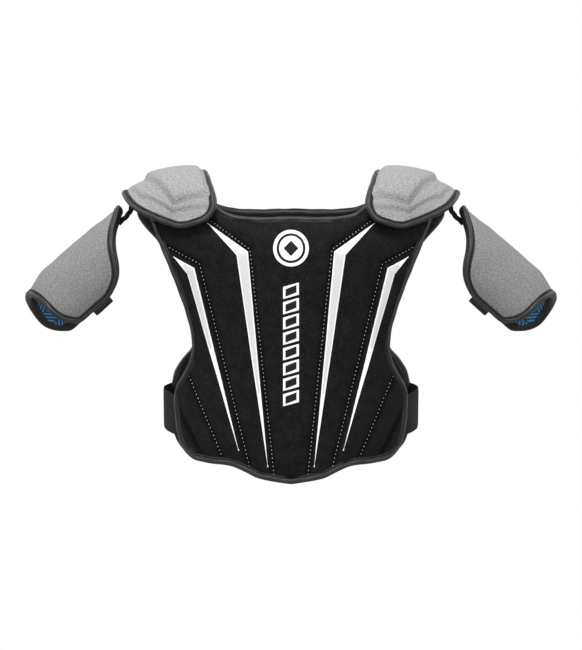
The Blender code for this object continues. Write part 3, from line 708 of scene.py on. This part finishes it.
# brightness by height, 0 straight down and 1 straight up; the band at the horizon is white
SKY = ((0.0, 0.45), (0.4, 0.5), (0.46, 1.0), (0.62, 1.0), (0.8, 0.38))
FLOOR_HALF, FLOOR_Z, FLOOR_GREY = 6.0, -1.0, 0.5


def set_stage():
    scene = bpy.context.scene
    scene.camera = camera = add_object("camera", bpy.data.cameras.new("camera"))
    away = Vector((0, -cos(CAMERA_RISE), sin(CAMERA_RISE)))
    camera.location = CAMERA_TARGET + away * CAMERA_DISTANCE
    aim(camera, CAMERA_TARGET)
    camera.data.sensor_width = CAMERA_SENSOR
    camera.data.lens = CAMERA_SENSOR * CAMERA_DISTANCE / VIEW_SPAN
    for name, place, size, power in LIGHTS:
        light = add_object(name, bpy.data.lights.new(name, "AREA"))
        light.data.size = size
        light.data.energy = power
        light.location = place
        aim(light, (0, 0, -0.1))
    world = bpy.data.worlds.new("studio")
    world.use_nodes = True
    tree = world.node_tree
    direction, parts, level, sky = (
        tree.nodes.new("ShaderNode" + kind) for kind in ("TexCoord", "SeparateXYZ", "Math", "ValToRGB"))
    level.operation = "MULTIPLY_ADD"
    level.inputs[1].default_value = level.inputs[2].default_value = 0.5
    fill_ramp(sky.color_ramp, SKY)
    tree.links.new(direction.outputs["Generated"], parts.inputs[0])
    tree.links.new(parts.outputs[2], level.inputs[0])
    tree.links.new(level.outputs[0], sky.inputs[0])
    tree.links.new(sky.outputs[0], tree.nodes["Background"].inputs["Color"])
    tree.nodes["Background"].inputs["Strength"].default_value = 1.0
    scene.world = world
    scene.view_settings.view_transform = "Standard"
    paint = Shader("pale_floor", 0.9, specular=0.5)
    paint.shader.inputs["Base Color"].default_value = (*grey(FLOOR_GREY), 1)
    half, low = FLOOR_HALF, FLOOR_Z
    verts = [(-half, -half, low), (half, -half, low), (half, half, low), (-half, half, low)]
    mesh = bpy.data.meshes.new("floor")
    mesh.from_pydata(verts, [], [(0, 1, 2, 3)])
    mesh.materials.append(paint.material)
    floor = add_object("floor", mesh)


# ---- body panels ----
def attach_front(piece):
    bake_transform(piece)


def attach_back(piece):
    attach(piece, "back")


# a panel's outline, sewn lines and body; its sign is 1 on the front and -1 on the back
Panel = namedtuple("Panel", "name sign neckline edge bottom sewn attach")
FRONT = Panel("front", 1, FRONT_NECKLINE, FRONT_EDGE, FRONT_BOTTOM, FRONT_SEWN, attach_front)
BACK = Panel("back", -1, BACK_NECKLINE, BACK_EDGE, BACK_BOTTOM, BACK_SEWN, attach_back)
SPINE = np.array((0.0, 0.0, -0.17))
NECK_REACH = 0.12           # the neckline's tape stays within this x
RIDGE_GAP = 0.0005          # the grid starts this far from the ridge
GRID_ROUNDS, GRID_EASE = 40, 0.6


def panel_grid(panel, inset, rows=110, centre=22, flank=26, arm_rows=26):
    """Arrays of (x, arc) over a body panel up to the ridge, and which grid points exist."""
    neck_arc = float(arc_at(*NECK_CORNER))
    corner_x = NECK_CORNER[0] + inset * 0.7
    share = corner_x / (float(curve_at(panel.edge, 0.003)) - inset)
    # columns crowd towards the edge, where the panel curves most
    side = np.concatenate((np.linspace(0, share, centre + 1), np.linspace(share, 1, flank + 1)[1:]))
    f = np.concatenate((-side[:0:-1], side))
    total = arm_rows + rows + 1
    row = np.arange(total)[:, None] - arm_rows
    f = np.broadcast_to(f, (total, len(f)))
    af = np.abs(f)
    at_arm = af >= share - 1e-6
    x = af * 0.15
    arc = np.full_like(x, neck_arc)
    v = np.clip(row / rows, 0, 1)
    for _ in range(GRID_ROUNDS):
        edge_x = curve_at(panel.edge, height_at(x, arc)) - inset
        inner = corner_x + (NECK_RIDGE_X + inset - corner_x) * (1 - arc / neck_arc)
        arm_x = inner + (edge_x - inner) * (af - share) / (1 - share)
        x = x + GRID_EASE * (np.where(row < 0, arm_x, af * edge_x) - x)
        neck = arc_at(x, curve_at(panel.neckline, x)) + inset
        top = np.where(at_arm, neck_arc + inset, neck)
        low = arc_at(x, curve_at(panel.bottom, x)) - inset
        arm_arc = RIDGE_GAP + (neck_arc + inset - RIDGE_GAP) * (row / arm_rows + 1)
        arc = np.where(row < 0, arm_arc, top + (low - top) * v)
    return np.sign(f) * x, arc, (row >= 0) | at_arm


def distance_to(lines, x, z):
    """Distance from points to the nearest of some polylines, mirrored over x."""
    best = np.full(np.shape(x), 1.0)
    for line in lines:
        for (x0, z0), (x1, z1) in zip(line, line[1:]):
            dx, dz = x1 - x0, z1 - z0
            u = np.clip(((np.abs(x) - x0) * dx + (z - z0) * dz) / (dx * dx + dz * dz), 0, 1)
            best = np.minimum(best, np.hypot(np.abs(x) - x0 - u * dx, z - z0 - u * dz))
    return best


def quilt(x, z, panel):
    """Height of the puffed skin: crowned segments, sunken sewn channels, low edges."""
    wide = np.abs(x)
    sewn = distance_to(panel.sewn.values(), x, z)
    side, low = curve_at(panel.edge, z) - wide, z - curve_at(panel.bottom, wide)
    neck = distance_to([(*panel.neckline, (NECK_RIDGE_X, RIDGE_Z))], x, z)
    rim = np.minimum(np.minimum(side, low), np.minimum(neck, RIM_FAR))
    pressed = 0.0
    if panel is BACK:       # its sides are flat under the waist elastics
        turn = np.degrees(np.arccos(np.clip(wide / HALF_WIDTH_WAIST, 0, 1)))
        near = smoothstep(0.04, 0.029, np.abs(z - strap_height(turn)))
        pressed = near * smoothstep(0.078, 0.1, wide)
    crown = CROWN * (1 - np.exp(-(sewn / CROWN_RISE) ** 1.6))
    crown = crown * (1 - np.exp(-(np.maximum(rim, 0) / RIM_RISE) ** 2))
    dip = CHANNEL_DEEP * np.exp(-(sewn / CHANNEL_WIDTH) ** 2)
    folds = FOLD_HEIGHT * np.sin(x * 61 + z * 23) * np.sin(z * 47 - x * 19 + 0.7)
    tug = TUG_HEIGHT * np.sin((z + wide * 0.3) * 520) * np.exp(-(sewn / 0.009) ** 2)
    return (crown + dip + folds + tug) * (1 - 0.9 * pressed)


def edge_distance(x, arc, valid):
    """Distance from each grid point to the panel's free edge; the ridge row isn't an edge."""
    edge = [key for key in edge_loop(valid) if key[0] > 0]
    place = TORSO.place(x, arc, 0.0 * x)
    tree = KDTree(len(edge))
    for k, key in enumerate(edge):
        tree.insert(place[key], k)
    tree.balance()
    return np.array([tree.find(point)[2] for point in place.reshape(-1, 3)]).reshape(x.shape)


def build_panel(panel):
    """One body panel: puffed outer skin, lining, tape round the neck and the outer edge."""
    x, arc, valid = panel_grid(panel, EDGE_INSET)
    z = height_at(x, arc)
    arc = arc * panel.sign
    height = quilt(x, z, panel)
    # painted shade: the skin's colour darkens in the sewn channels and in a band beside the tape, where
    # shade falls
    crease_shade = np.exp(-(distance_to(panel.sewn.values(), x, z) / CHANNEL_WIDTH) ** 2)
    rim_gap = edge_distance(x, arc, valid)
    crease_shade = np.maximum(crease_shade, 0.8 * np.exp(-(np.maximum(rim_gap - 0.0035, 0) / 0.0022) ** 2))
    skin = layer(panel.name + "_skin", BLACK, x, arc, valid, TORSO, height, SKIN_DEEP, crease_shade_mask=crease_shade)
    inner = (STACK - LINING_EDGE - 0.8 * height) * smoothstep(0, LINING_TAPER, rim_gap)
    lining = layer(panel.name + "_lining", LINING, x, arc, valid, TORSO, SKIN_DEEP,
                   LINING_EDGE + inner)
    panel.attach(skin), panel.attach(lining)
    loop = edge_loop(valid)
    on_ridge = [key[0] == 0 for key in loop]
    starts = [k for k in range(len(loop)) if on_ridge[k] and not on_ridge[(k + 1) % len(loop)]]
    paths = {}
    for start in starts:
        run, k = [loop[start]], (start + 1) % len(loop)
        while not on_ridge[k]:
            run.append(loop[k])
            k = (k + 1) % len(loop)
        run.append(loop[k])
        keys = tuple(np.array(run).T)
        points = TORSO.place(x[keys], arc[keys], 0.0 * x[keys])
        normals = TORSO.outward(x[keys], arc[keys])
        paths["neck" if abs(x[keys]).max() < NECK_REACH else "edge"] = points, normals
    # both runs go round the same edge loop, so what faces away along one does along the other
    away = facing(*paths["edge"], False, SPINE)
    tapes, seams = [], []
    for kind in ("neck", "edge"):
        piece, seam = tape(panel.name + "_" + kind + "_tape", *paths[kind], False, TAPE, away)
        panel.attach(piece)
        tapes.append(piece)
        seams.append((*seam, False))
    sewing = stitches(panel.name + "_tape_stitches", seams, DARK_THREAD, 0.0042)
    panel.attach(sewing)
    skin, lining, sewing
    return skin, lining, tapes


def sewn_run(line, side, panel, lift=0.0007):
    """Path and normals of a stitch line on the puffed skin."""
    points, _ = resample(np.array(line) * np.array((side, 1.0)), 0.003, False)
    x, z = points[:, 0], points[:, 1]
    arc = arc_at(x, z) * panel.sign
    return TORSO.place(x, arc, quilt(x, z, panel) + lift), TORSO.outward(x, arc), False


def front_print(name, x, z, material, lift, thick):
    """A thin printed or welded shape that lies on the puffed front; x and z are a grid."""
    height = quilt(x, z, FRONT) + lift
    piece = layer(name, material, x, arc_at(x, z), whole(x), TORSO, height + thick,
                  height - PRINT_SUNK)
    attach_front(piece)
    return piece


def ring_grid(centre, inner, outer, count=72, rings=5):
    """Grid arrays of a flat ring round a centre, as (x, z); its seam is closed by an overlap."""
    angle = np.linspace(0, 2 * pi, count + 1)[None, :]
    radius = np.linspace(inner, outer, rings)[:, None]
    return centre[0] + radius * np.cos(angle), centre[1] + radius * np.sin(angle)


def strip_grid(corners, rows, columns):
    """Bilinear grid over four (x, z) corners, given in order round the shape."""
    a, b, c, d = (np.array(point, float) for point in corners)
    u = np.linspace(0, 1, rows + 1)[:, None, None]
    v = np.linspace(0, 1, columns + 1)[None, :, None]
    grid = (a * (1 - u) + d * u) * (1 - v) + (b * (1 - u) + c * u) * v
    return grid[..., 0], grid[..., 1]


def build_graphics():
    """Stripes, a plain ring badge with a diamond, and a column of plain slanted blocks."""
    for side_name, side in SIDES.items():
        for kind, (tip, inner, end, outer) in STRIPES.items():
            upper = strip_grid((tip, tip, outer, inner), 14, 4)
            lower = strip_grid((inner, outer, end, end), 70, 4)
            x = np.concatenate((upper[0], lower[0][1:])) * side
            z = np.concatenate((upper[1], lower[1][1:]))
            tip_width = np.linspace(-STRIPE_TIP * side, STRIPE_TIP * side, 5)
            x[0] += tip_width
            x[-1] += tip_width
            stripe = front_print(kind + "_stripe_film_" + side_name, x, z, FILM, 0.0, 0.0009)
            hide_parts(kind + "_stripe_" + side_name)
            spread = x - x.mean(1, keepdims=True)
            half = np.abs(spread).max(1, keepdims=True)
            rows = np.nonzero(half[:, 0] > FILM_BORDER * 1.6)[0]
            within = slice(rows[0], rows[-1] + 1)
            fill_x = x.mean(1, keepdims=True) + spread * (1 - FILM_BORDER / half)
            fill = front_print(kind + "_stripe_fill_" + side_name, fill_x[within], z[within],
                               FILM_GREY, 0.0008, 0.0004)
    rim, gap, disc = BADGE_RADII
    for name, inner, outer, material, thick in (
            ("badge_rim", gap, rim, FILM, 0.0008), ("badge_gap", disc, gap, DARK_EDGE, 0.0004),
            ("badge_disc", 0.0002, disc, FILM, 0.0008)):
        ring = ring_grid(BADGE_CENTRE, inner, outer)
        front_print(name, *ring, material, 0.0, thick)
    reach = disc * 0.62
    x, z = strip_grid(((0, reach), (reach, 0), (0, -reach), (-reach, 0)), 10, 10)
    diamond = front_print("badge_diamond", x + BADGE_CENTRE[0], z + BADGE_CENTRE[1], DARK_EDGE,
                          0.0006, 0.0006)
    pitch = (COLUMN_TOP - COLUMN_LOW) / COLUMN_BLOCKS
    for k in range(COLUMN_BLOCKS):
        top = COLUMN_TOP - k * pitch
        for grow, material, lift, thick, kind in (
                (0.0, FILM, 0.0, 0.0008, "block"),
                (BLOCK_INSET, DARK_EDGE, 0.0006, 0.0005, "inset")):
            half, rise = BLOCK_HALF_WIDTH + grow, BLOCK_SLANT
            high, low = top - 0.0009 + grow, top - pitch + 0.0042 - rise * 0.2 - grow
            block = strip_grid(
                ((-half, high - rise), (half, high), (half, low), (-half, low - rise)), 8, 8)
            piece = front_print("column_%s_%d" % (kind, k + 1), *block, material, lift, thick)


def build_torso():
    nodes = list(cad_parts)
    skin, lining, tapes = build_panel(FRONT)
    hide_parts("front_cover", *[node for node in nodes if node.startswith("front_foam")])
    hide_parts("front_liner")
    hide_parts("front_neck_binding")
    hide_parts("front_edge_binding")
    skin, lining, tapes = build_panel(BACK)
    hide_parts("back_cover", *[node for node in nodes if node.startswith(
        ("back_foam", "bridge_cover", "bridge_foam"))])
    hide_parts("back_liner", "bridge_liner_left", "bridge_liner_right")
    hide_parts("back_neck_binding", "bridge_binding_left", "bridge_binding_right")
    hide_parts("back_edge_binding")
    for panel, bright in ((FRONT, WHITE_THREAD), (BACK, GREY_THREAD)):
        for colour, kinds in ((bright, ("inner", "outer", "side")), (DARK_THREAD, ("corner",))):
            runs = [sewn_run(panel.sewn[kind], side, panel)
                    for kind in kinds if kind in panel.sewn for side in SIDES.values()]
            if runs:        # the back has no corner line
                sewing = stitches(panel.name + "_" + colour.name + "_stitches", runs, colour,
                                  0.0052, 0.0019, 0.00044)
                panel.attach(sewing)


# ---- caps ----
CAP_PLATEAU = ((0.088, 52), (0.113, 57), (0.149, 64.5), (0.18, 20.4), (0.186, 0))
CAP_WING = ((0.088, 62), (0.113, 67), (0.151, 71.5), (0.194, 38.6), (0.2095, 0))


def step_inside(outline, x, degrees, width):
    """Rises from 0 to 1 across a bevel of that width just inside an outline of (x, degrees)."""
    points = np.array(outline)
    edge = np.interp(x, points[:, 0], points[:, 1], right=-20)
    line = [(px, deg * CAP_DEGREE) for px, deg in outline]
    away = distance_to([line], x, np.abs(degrees) * CAP_DEGREE)
    away = np.where(np.abs(degrees) < edge, away, -away)
    return smoothstep(-width * 0.25, width, away)


def cap_relief(degrees, x):
    plateau = 0.0068 * step_inside(CAP_PLATEAU, x, degrees, 0.0075)
    wing = 0.0034 * step_inside(CAP_WING, x, degrees, 0.005)
    return plateau + wing - 0.0036 + 0.00025 * np.sin(x * 170) * np.sin(degrees * 0.21)


def shell_grid(kind, inset, rows, columns):
    """Arrays of (degrees, other) over a cap or an arm guard, drawn in from its edge."""
    turn = np.linspace(-1, 1, rows + 1)[:, None]
    share = np.linspace(0, 1, columns + 1)[None, :]
    shape = rows + 1, columns + 1
    if kind == "cap":
        spread = 0.35 * np.sin(turn * pi / 2) + 0.65 * turn
        reach = 90 - np.degrees(inset / (CAP_DROP + 0.085) * 2)
        neck = curve_at(CAP_NECK_EDGE, np.abs(90 * spread)) + inset
        outer = curve_at(CAP_OUTER_EDGE, np.abs(90 * spread)) - inset
        return np.broadcast_to(reach * spread, shape), neck + (outer - neck) * share
    reach = ARM_COVERS - np.degrees(inset / ARM_RADIUS[0])
    degrees = np.abs(ARM_COVERS * turn)
    start, corner = ARM_CORNER
    off = np.maximum(degrees - start, 0) / (ARM_COVERS - start)
    top = curve_at(ARM_TOP_EDGE, degrees) + inset
    cuff = ARM_LENGTH + ARM_CUFF_SKEW * np.sin(np.radians(ARM_COVERS * turn)) - corner * off ** 2
    along = top + (cuff - inset - top) * share
    return np.broadcast_to(reach * turn, shape), along


def build_shell(kind, side_name, surface, relief, material, middle, cloth_scale):
    """Moulded skin, lining, tape and stitches of a cap or an arm guard."""
    body = kind + "_" + side_name
    rows, columns = 88, 56
    a, b = shell_grid(kind, EDGE_INSET, rows, columns)
    valid = whole(a)
    row, column = np.arange(rows + 1)[:, None], np.arange(columns + 1)[None, :]
    # 0 at the edge and 1 a few grid steps inside it
    fade = smoothstep(0, 1, np.minimum(np.minimum(row, rows - row) / 8,
                                       np.minimum(column, columns - column) / 7))
    height = relief(a, b) * fade - 0.0004 * (1 - fade)
    skin = layer(kind + "_skin_" + side_name, material, a, b, valid, surface, height, SKIN_DEEP,
                 cloth_scale)
    lining = layer(kind + "_lining_" + side_name, LINING, a, b, valid, surface, SKIN_DEEP,
                   LINING_EDGE + (STACK - LINING_EDGE) * fade, cloth_scale)
    loop = tuple(np.array(edge_loop(valid)).T)
    points = surface.place(a[loop], b[loop], 0.0 * a[loop])
    normals = surface.outward(a[loop], b[loop])
    piece, seam = tape(kind + "_tape_" + side_name, points, normals, True, TAPE,
                       facing(points, normals, True, middle))
    sewing = stitches(kind + "_stitches_" + side_name, [(*seam, True)], DARK_THREAD, 0.0046,
                      0.0032, 0.0005)
    for thing, slot in ((skin, "heather_grey"), (lining, "liner_blue"), (piece, "binding_charcoal"),
                        (sewing, "binding_charcoal")):
        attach(thing, body)
    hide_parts(kind + "_shell_" + side_name)
    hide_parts(kind + "_liner_" + side_name)
    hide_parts(kind + "_binding_" + side_name)


def arm_relief(degrees, along):
    """A low raised field, held back from the edge by a soft ridge."""
    middle = np.exp(-((degrees + 20) / 95.0) ** 4) * np.exp(-((along - 0.085) / 0.06) ** 4)
    wrinkle = 0.00035 * np.sin(along * 190 + degrees * 0.05) * np.sin(degrees * 0.11 + along * 40)
    return 0.0026 * middle - 0.0008 + wrinkle


# ---- straps, tabs and pads ----
def strap_height(degrees):
    return STRAP_MID_Z + STRAP_SLANT * np.radians(degrees) * (HALF_WIDTH_WAIST + HALF_DEPTH) / 2


def waist_band(half):
    """Lower and upper edge of a band of that half width, by the place round the waist."""
    return lambda a: strap_height(a) - half, lambda a: strap_height(a) + half


def webbing(name, a_range, b_low, b_high, surface, base, material, thick=0.0018, rows=60,
            columns=20, scale=(1.0, 1.0)):
    """A strap: its edges are thinner, and it ripples a little between its ends."""
    a = np.linspace(a_range[0], a_range[1], rows + 1)[:, None] * np.ones((1, columns + 1))
    v = np.linspace(0, 1, columns + 1)[None, :]
    b = b_low(a) + (b_high(a) - b_low(a)) * v
    edge = 1 - 0.55 * np.exp(-(np.minimum(v, 1 - v) / 0.045) ** 2)
    ripple = 0.00045 * np.sin(np.linspace(0, 1, rows + 1)[:, None] * 21 + v * 1.7)
    centre = base(a, b) + ripple
    return layer(name, material, a, b, whole(a), surface, centre + thick / 2 * edge,
                 centre - thick / 2 * edge, scale)


def build_straps(side_name, side):
    waist = Surface(waist_surface, DEGREE_STEP, METRE_STEP, side, -1)

    def base(degrees, height):
        return STRAP_INSIDE + (STRAP_OUTSIDE - STRAP_INSIDE) * smoothstep(*STRAP_RISE, degrees)

    strap = webbing("side_elastic_" + side_name, (STRAP_ANCHOR_START, STRAP_FREE[1]),
                    *waist_band(STRAP_HALF_WIDTH), waist, base, ELASTIC, scale=(WAIST_DEGREE, 1.0))
    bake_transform(strap)
    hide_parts("side_strap_" + side_name, "strap_anchor_" + side_name)
    patch = webbing("loop_field_" + side_name, STRAP_PATCH, *waist_band(PATCH_HALF_WIDTH), waist,
                    lambda a, b: 0.0011 + 0 * a, BLACK, 0.0016, scale=(WAIST_DEGREE, 1.0))
    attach(patch, "back")
    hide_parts("loop_patch_" + side_name)
    sheet = Surface(arm_strap_surface, ROUTE_STEP, METRE_STEP, side)
    arm_strap = webbing("arm_elastic_" + side_name, (0.0, path_marks(ARM_STRAP_ROUTE)[-1]),
                        lambda a: ARM_STRAP_S[0] + 0 * a, lambda a: ARM_STRAP_S[1] + 0 * a, sheet,
                        lambda a, b: 0 * a, ELASTIC)
    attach(arm_strap, "arm_strap_" + side_name)
    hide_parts("arm_strap_" + side_name)


def build_tab(side_name, side):
    surface = Surface(tab_surface, ROUTE_STEP, METRE_STEP, side)
    length = float(path_marks(TAB_ROUTE)[-1])

    def pinch(t):
        return TAB_HALF_WIDTH * (1 - 0.35 * np.exp(-((t - length * 0.55) / 0.006) ** 2))

    tab = webbing("webbing_tab_" + side_name, (0.0, length), lambda t: -pinch(t), pinch, surface,
                  lambda t, across: 0 * t, ELASTIC, 0.006, 36, 12)
    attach(tab, "arm_tab_" + side_name)
    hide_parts("arm_tab_" + side_name)


def build_pad(side_name):
    """Comfort pad under a bridge: a rounded cushion in its CAD node's box."""
    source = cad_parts["shoulder_pad_" + side_name]
    mesh = source.data.copy()
    pad = add_object("comfort_pad_" + side_name, mesh)
    bm = bmesh.new()
    bm.from_mesh(mesh)
    bmesh.ops.remove_doubles(bm, verts=bm.verts, dist=0.0001)
    bmesh.ops.subdivide_edges(bm, edges=bm.edges, cuts=7, use_grid_fill=True)
    bm.to_mesh(mesh)
    bm.free()
    mesh.materials.clear()
    mesh.materials.append(BLACK)
    mesh.shade_smooth()
    soften = pad.modifiers.new("soften", "SMOOTH")
    soften.iterations = 3
    soften.factor = 0.5
    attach(pad, "back")
    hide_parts("shoulder_pad_" + side_name)


set_stage()
build_torso()
build_graphics()
for SIDE_NAME, SIDE in SIDES.items():
    MIRROR = np.array((SIDE, 1.0, 1.0))
    build_shell("cap", SIDE_NAME, Surface(cap_surface, DEGREE_STEP, METRE_STEP, SIDE, -1),
                cap_relief, HEATHER_CAP, np.array((0.15, 0.0, 0.0)) * MIRROR, (CAP_DEGREE, 1.0))
    build_shell("arm", SIDE_NAME, Surface(arm_surface, DEGREE_STEP, METRE_STEP, SIDE), arm_relief,
                HEATHER_ARM_SHADED, (ARM_TOP + ARM_AXIS * 0.075) * MIRROR, (ARM_DEGREE, 1.0))
    build_straps(SIDE_NAME, SIDE)
    build_tab(SIDE_NAME, SIDE)
    build_pad(SIDE_NAME)
for NODE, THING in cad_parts.items():
    if "_plate_" in NODE:
        THING.data.materials.clear()
        THING.data.materials.append(PLASTIC)
